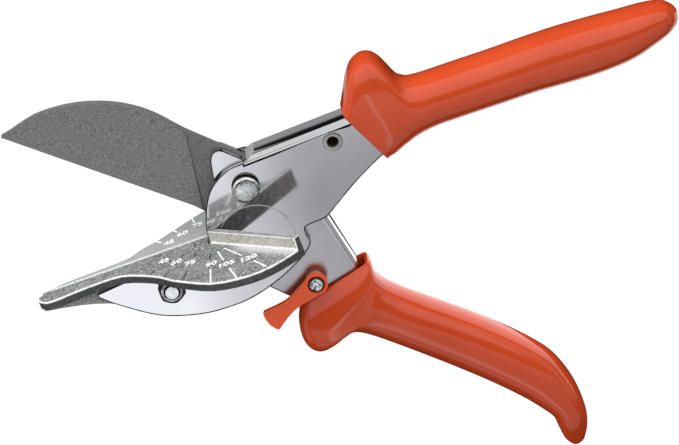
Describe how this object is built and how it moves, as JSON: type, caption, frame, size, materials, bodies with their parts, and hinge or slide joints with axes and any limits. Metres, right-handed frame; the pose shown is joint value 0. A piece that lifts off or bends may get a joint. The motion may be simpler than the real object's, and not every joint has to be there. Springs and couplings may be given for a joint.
{
  "type": "mitre shears",
  "caption": "Hand shears with a straight anvil blade that closes on a flat mitre table with a fence; dipped grips and a thumb latch.",
  "frame": {"origin": "on the pivot's axis, at the flat rear end face of the pivot bolt", "axes": "+X along the table's cutting line towards the handles, +Y out of the table's top face, +Z along the pivot's axis, out of the outer side plate"},
  "size_m": [0.2295, 0.1798, 0.0643],
  "materials": {
    "chromed_sheet": "polished chrome plate on pressed sheet steel",
    "coated_blade": "dark grey matte non-stick coating on ground steel",
    "cast_table": "as-cast, tumbled and nickel plated, speckled",
    "zinc_plate": "bright zinc plate on steel fasteners",
    "spring_steel": "oiled spring steel",
    "bronze": "sintered bronze",
    "orange_dip": "glossy dip-moulded vinyl, red orange",
    "latch_orange": "moulded plastic, red orange"
  },
  "bodies": {
    "anvil_side": {"anvil_lever": "chromed_sheet", "mitre_table": "cast_table", "anvil_bolt": "zinc_plate", "anvil_nut": "zinc_plate", "upper_grip": "orange_dip", "spring_pin": "chromed_sheet", "return_spring": "spring_steel", "pivot_bolt": "zinc_plate", "pivot_nut": "zinc_plate", "pivot_washer": "zinc_plate", "pivot_bush": "bronze"},
    "blade_side": {"blade_lever": "chromed_sheet", "blade": "coated_blade", "blade_rivet_1": "zinc_plate", "blade_rivet_2": "zinc_plate", "lower_grip": "orange_dip", "latch_screw": "zinc_plate", "latch_bush": "zinc_plate", "latch_washer": "spring_steel", "latch_nut": "zinc_plate"},
    "latch": {"latch_lever": "latch_orange"}
  },
  "joints": [
    {"name": "shear_pivot", "type": "hinge", "parent": "anvil_side", "child": "blade_side", "pos_m": [0, 0, 0.014], "axis": [0, 0, 1], "range_deg": [0, 42], "stiffness_Nm_per_rad": 1.2, "springref_deg": -20.05, "deforming": ["return_spring"]},
    {"name": "latch_pivot", "type": "hinge", "parent": "blade_side", "child": "latch", "pos_m": [0.0099, -0.0405, 0.014], "axis": [0, 0, 1], "range_deg": [-70, 0]}
  ]
}
